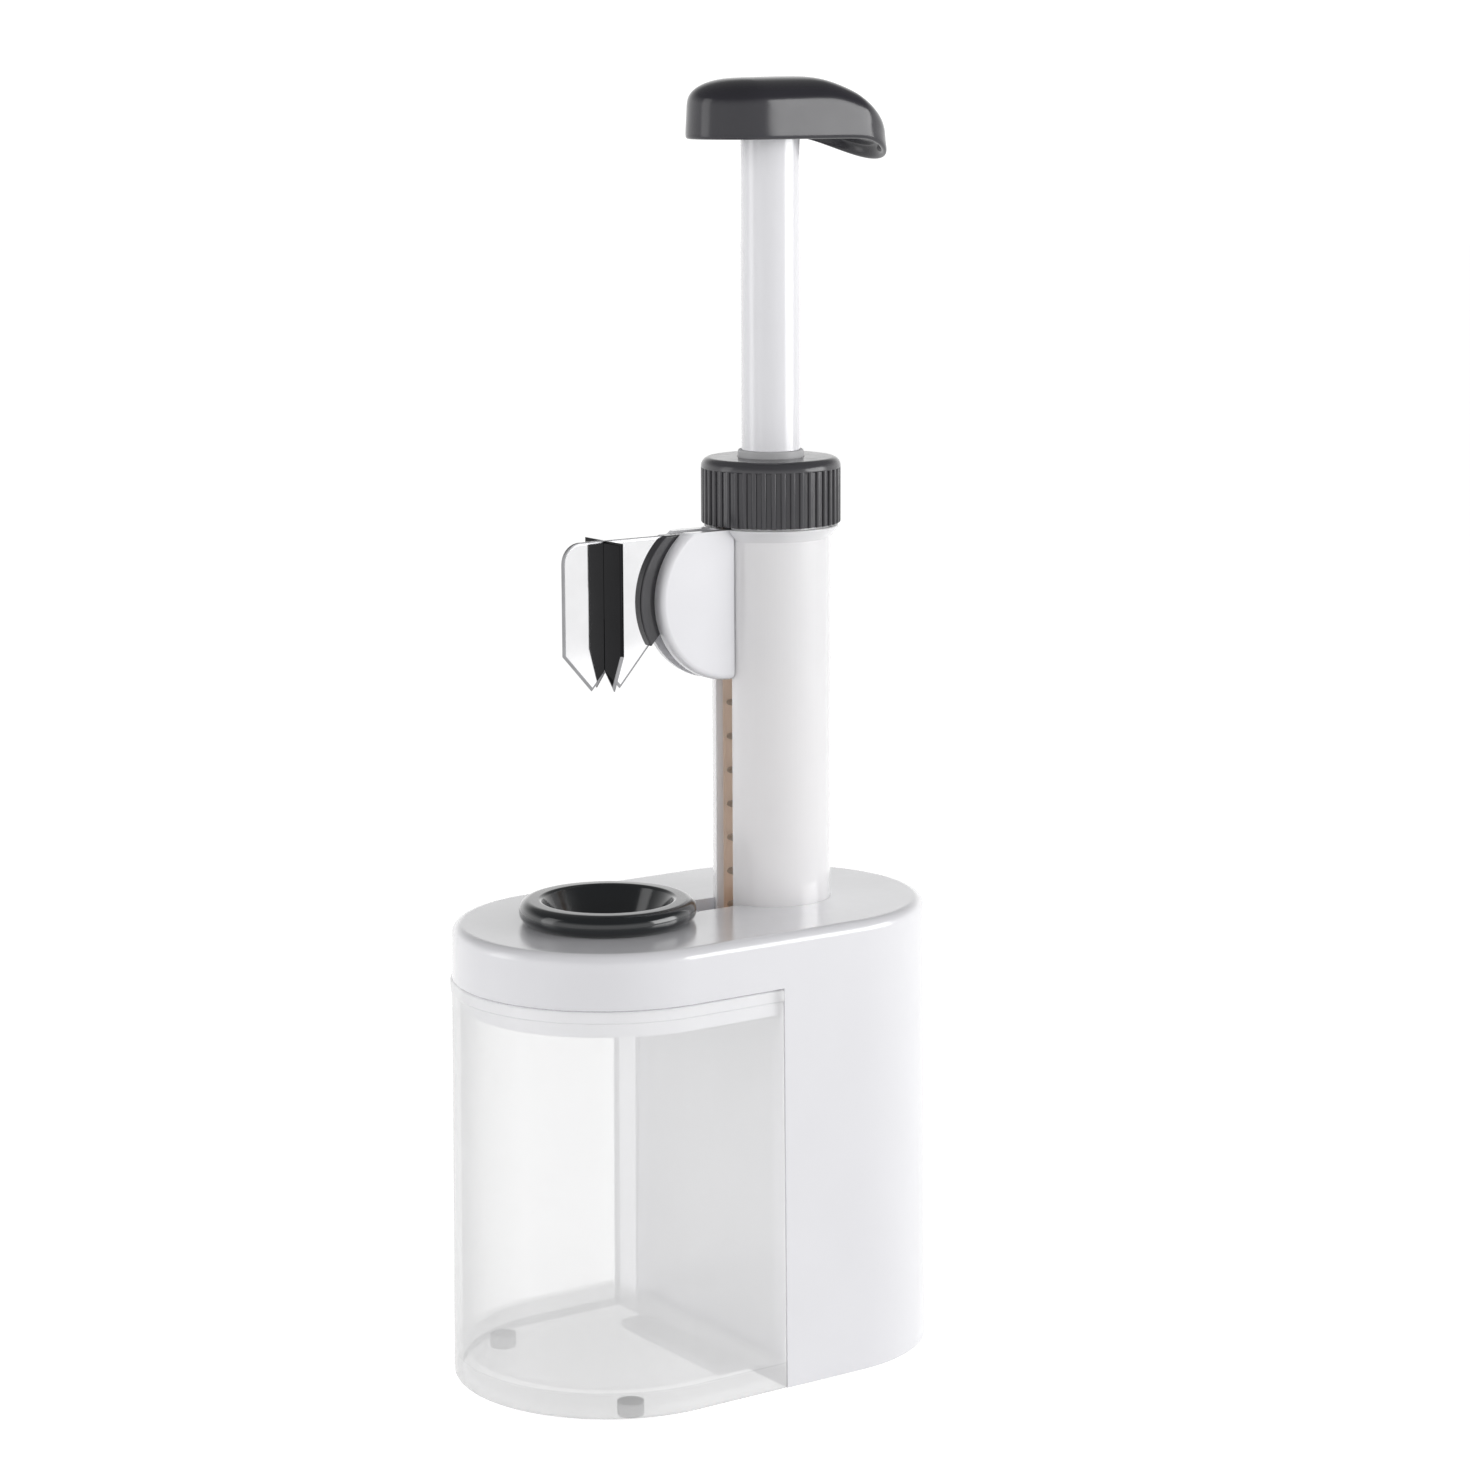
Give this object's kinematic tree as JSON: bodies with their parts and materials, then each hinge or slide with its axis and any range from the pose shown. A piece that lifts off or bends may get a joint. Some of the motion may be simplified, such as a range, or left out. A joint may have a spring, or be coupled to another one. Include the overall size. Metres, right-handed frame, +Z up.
{
  "type": "plum pitter",
  "caption": "Hand-pressed plum pitter: a sprung knife cross on a slotted guide column above a seat ring, on a rounded base with a pull-out container.",
  "frame": {"origin": "middle of the base's footprint, on the table", "axes": "+Z up along the column, +X from the seat ring to the column, -Y the front"},
  "size_m": [0.1272, 0.0784, 0.3165],
  "materials": {
    "white_plastic": "glossy white",
    "milky_plastic": "milky translucent",
    "dark_plastic": "dark grey satin",
    "light_plastic": "light grey",
    "black_plastic": "glossy black",
    "polished_steel": "mirror-polished stainless steel",
    "dark_steel": null,
    "steel": "plain steel",
    "rubber": "dark rubber"
  },
  "bodies": {
    "base": {"base_housing": "white_plastic", "bottom_plate": "white_plastic", "plate_screws": "steel", "base_feet": "rubber", "column": "white_plastic", "column_screws": "steel", "spring_seat": "light_plastic", "return_spring": "steel", "seat_ring": "black_plastic", "seat_clip": "dark_plastic"},
    "container": {"container": "milky_plastic", "container_feet": "rubber"},
    "plunger": {"carriage": "white_plastic", "blade_grip": "dark_plastic", "long_blade": "polished_steel", "cross_blade": "dark_steel", "blade_pins": "steel", "rod": "white_plastic", "rod_pin": "steel", "handle_shell": "dark_plastic", "handle_insert": "dark_plastic", "handle_pin": "steel", "bumper": "rubber"},
    "bush": {"rod_bush": "light_plastic"},
    "cap": {"screw_cap": "dark_plastic"}
  },
  "joints": [
    {"name": "plunge", "type": "slide", "parent": "base", "child": "plunger", "axis": [0, 0, -1], "range_m": [0, 0.055], "stiffness_N_per_m": 150, "springref_m": -0.03, "deforming": ["return_spring"]},
    {"name": "container_pull", "type": "slide", "parent": "base", "child": "container", "axis": [-1, 0, 0], "range_m": [0, 0.07]},
    {"name": "cap_lift", "type": "slide", "parent": "base", "child": "bush", "axis": [0, 0, 1], "range_m": [0, 0.00601]},
    {"name": "cap_turn", "type": "hinge", "parent": "bush", "child": "cap", "pos_m": [0.0244, 0, 0.2164], "axis": [0, 0, 1], "range_deg": [0, 720]}
  ],
  "couplings": [
    {"joint": "cap_lift", "follows": "cap_turn", "m_per_rad": 0.00047746}
  ]
}
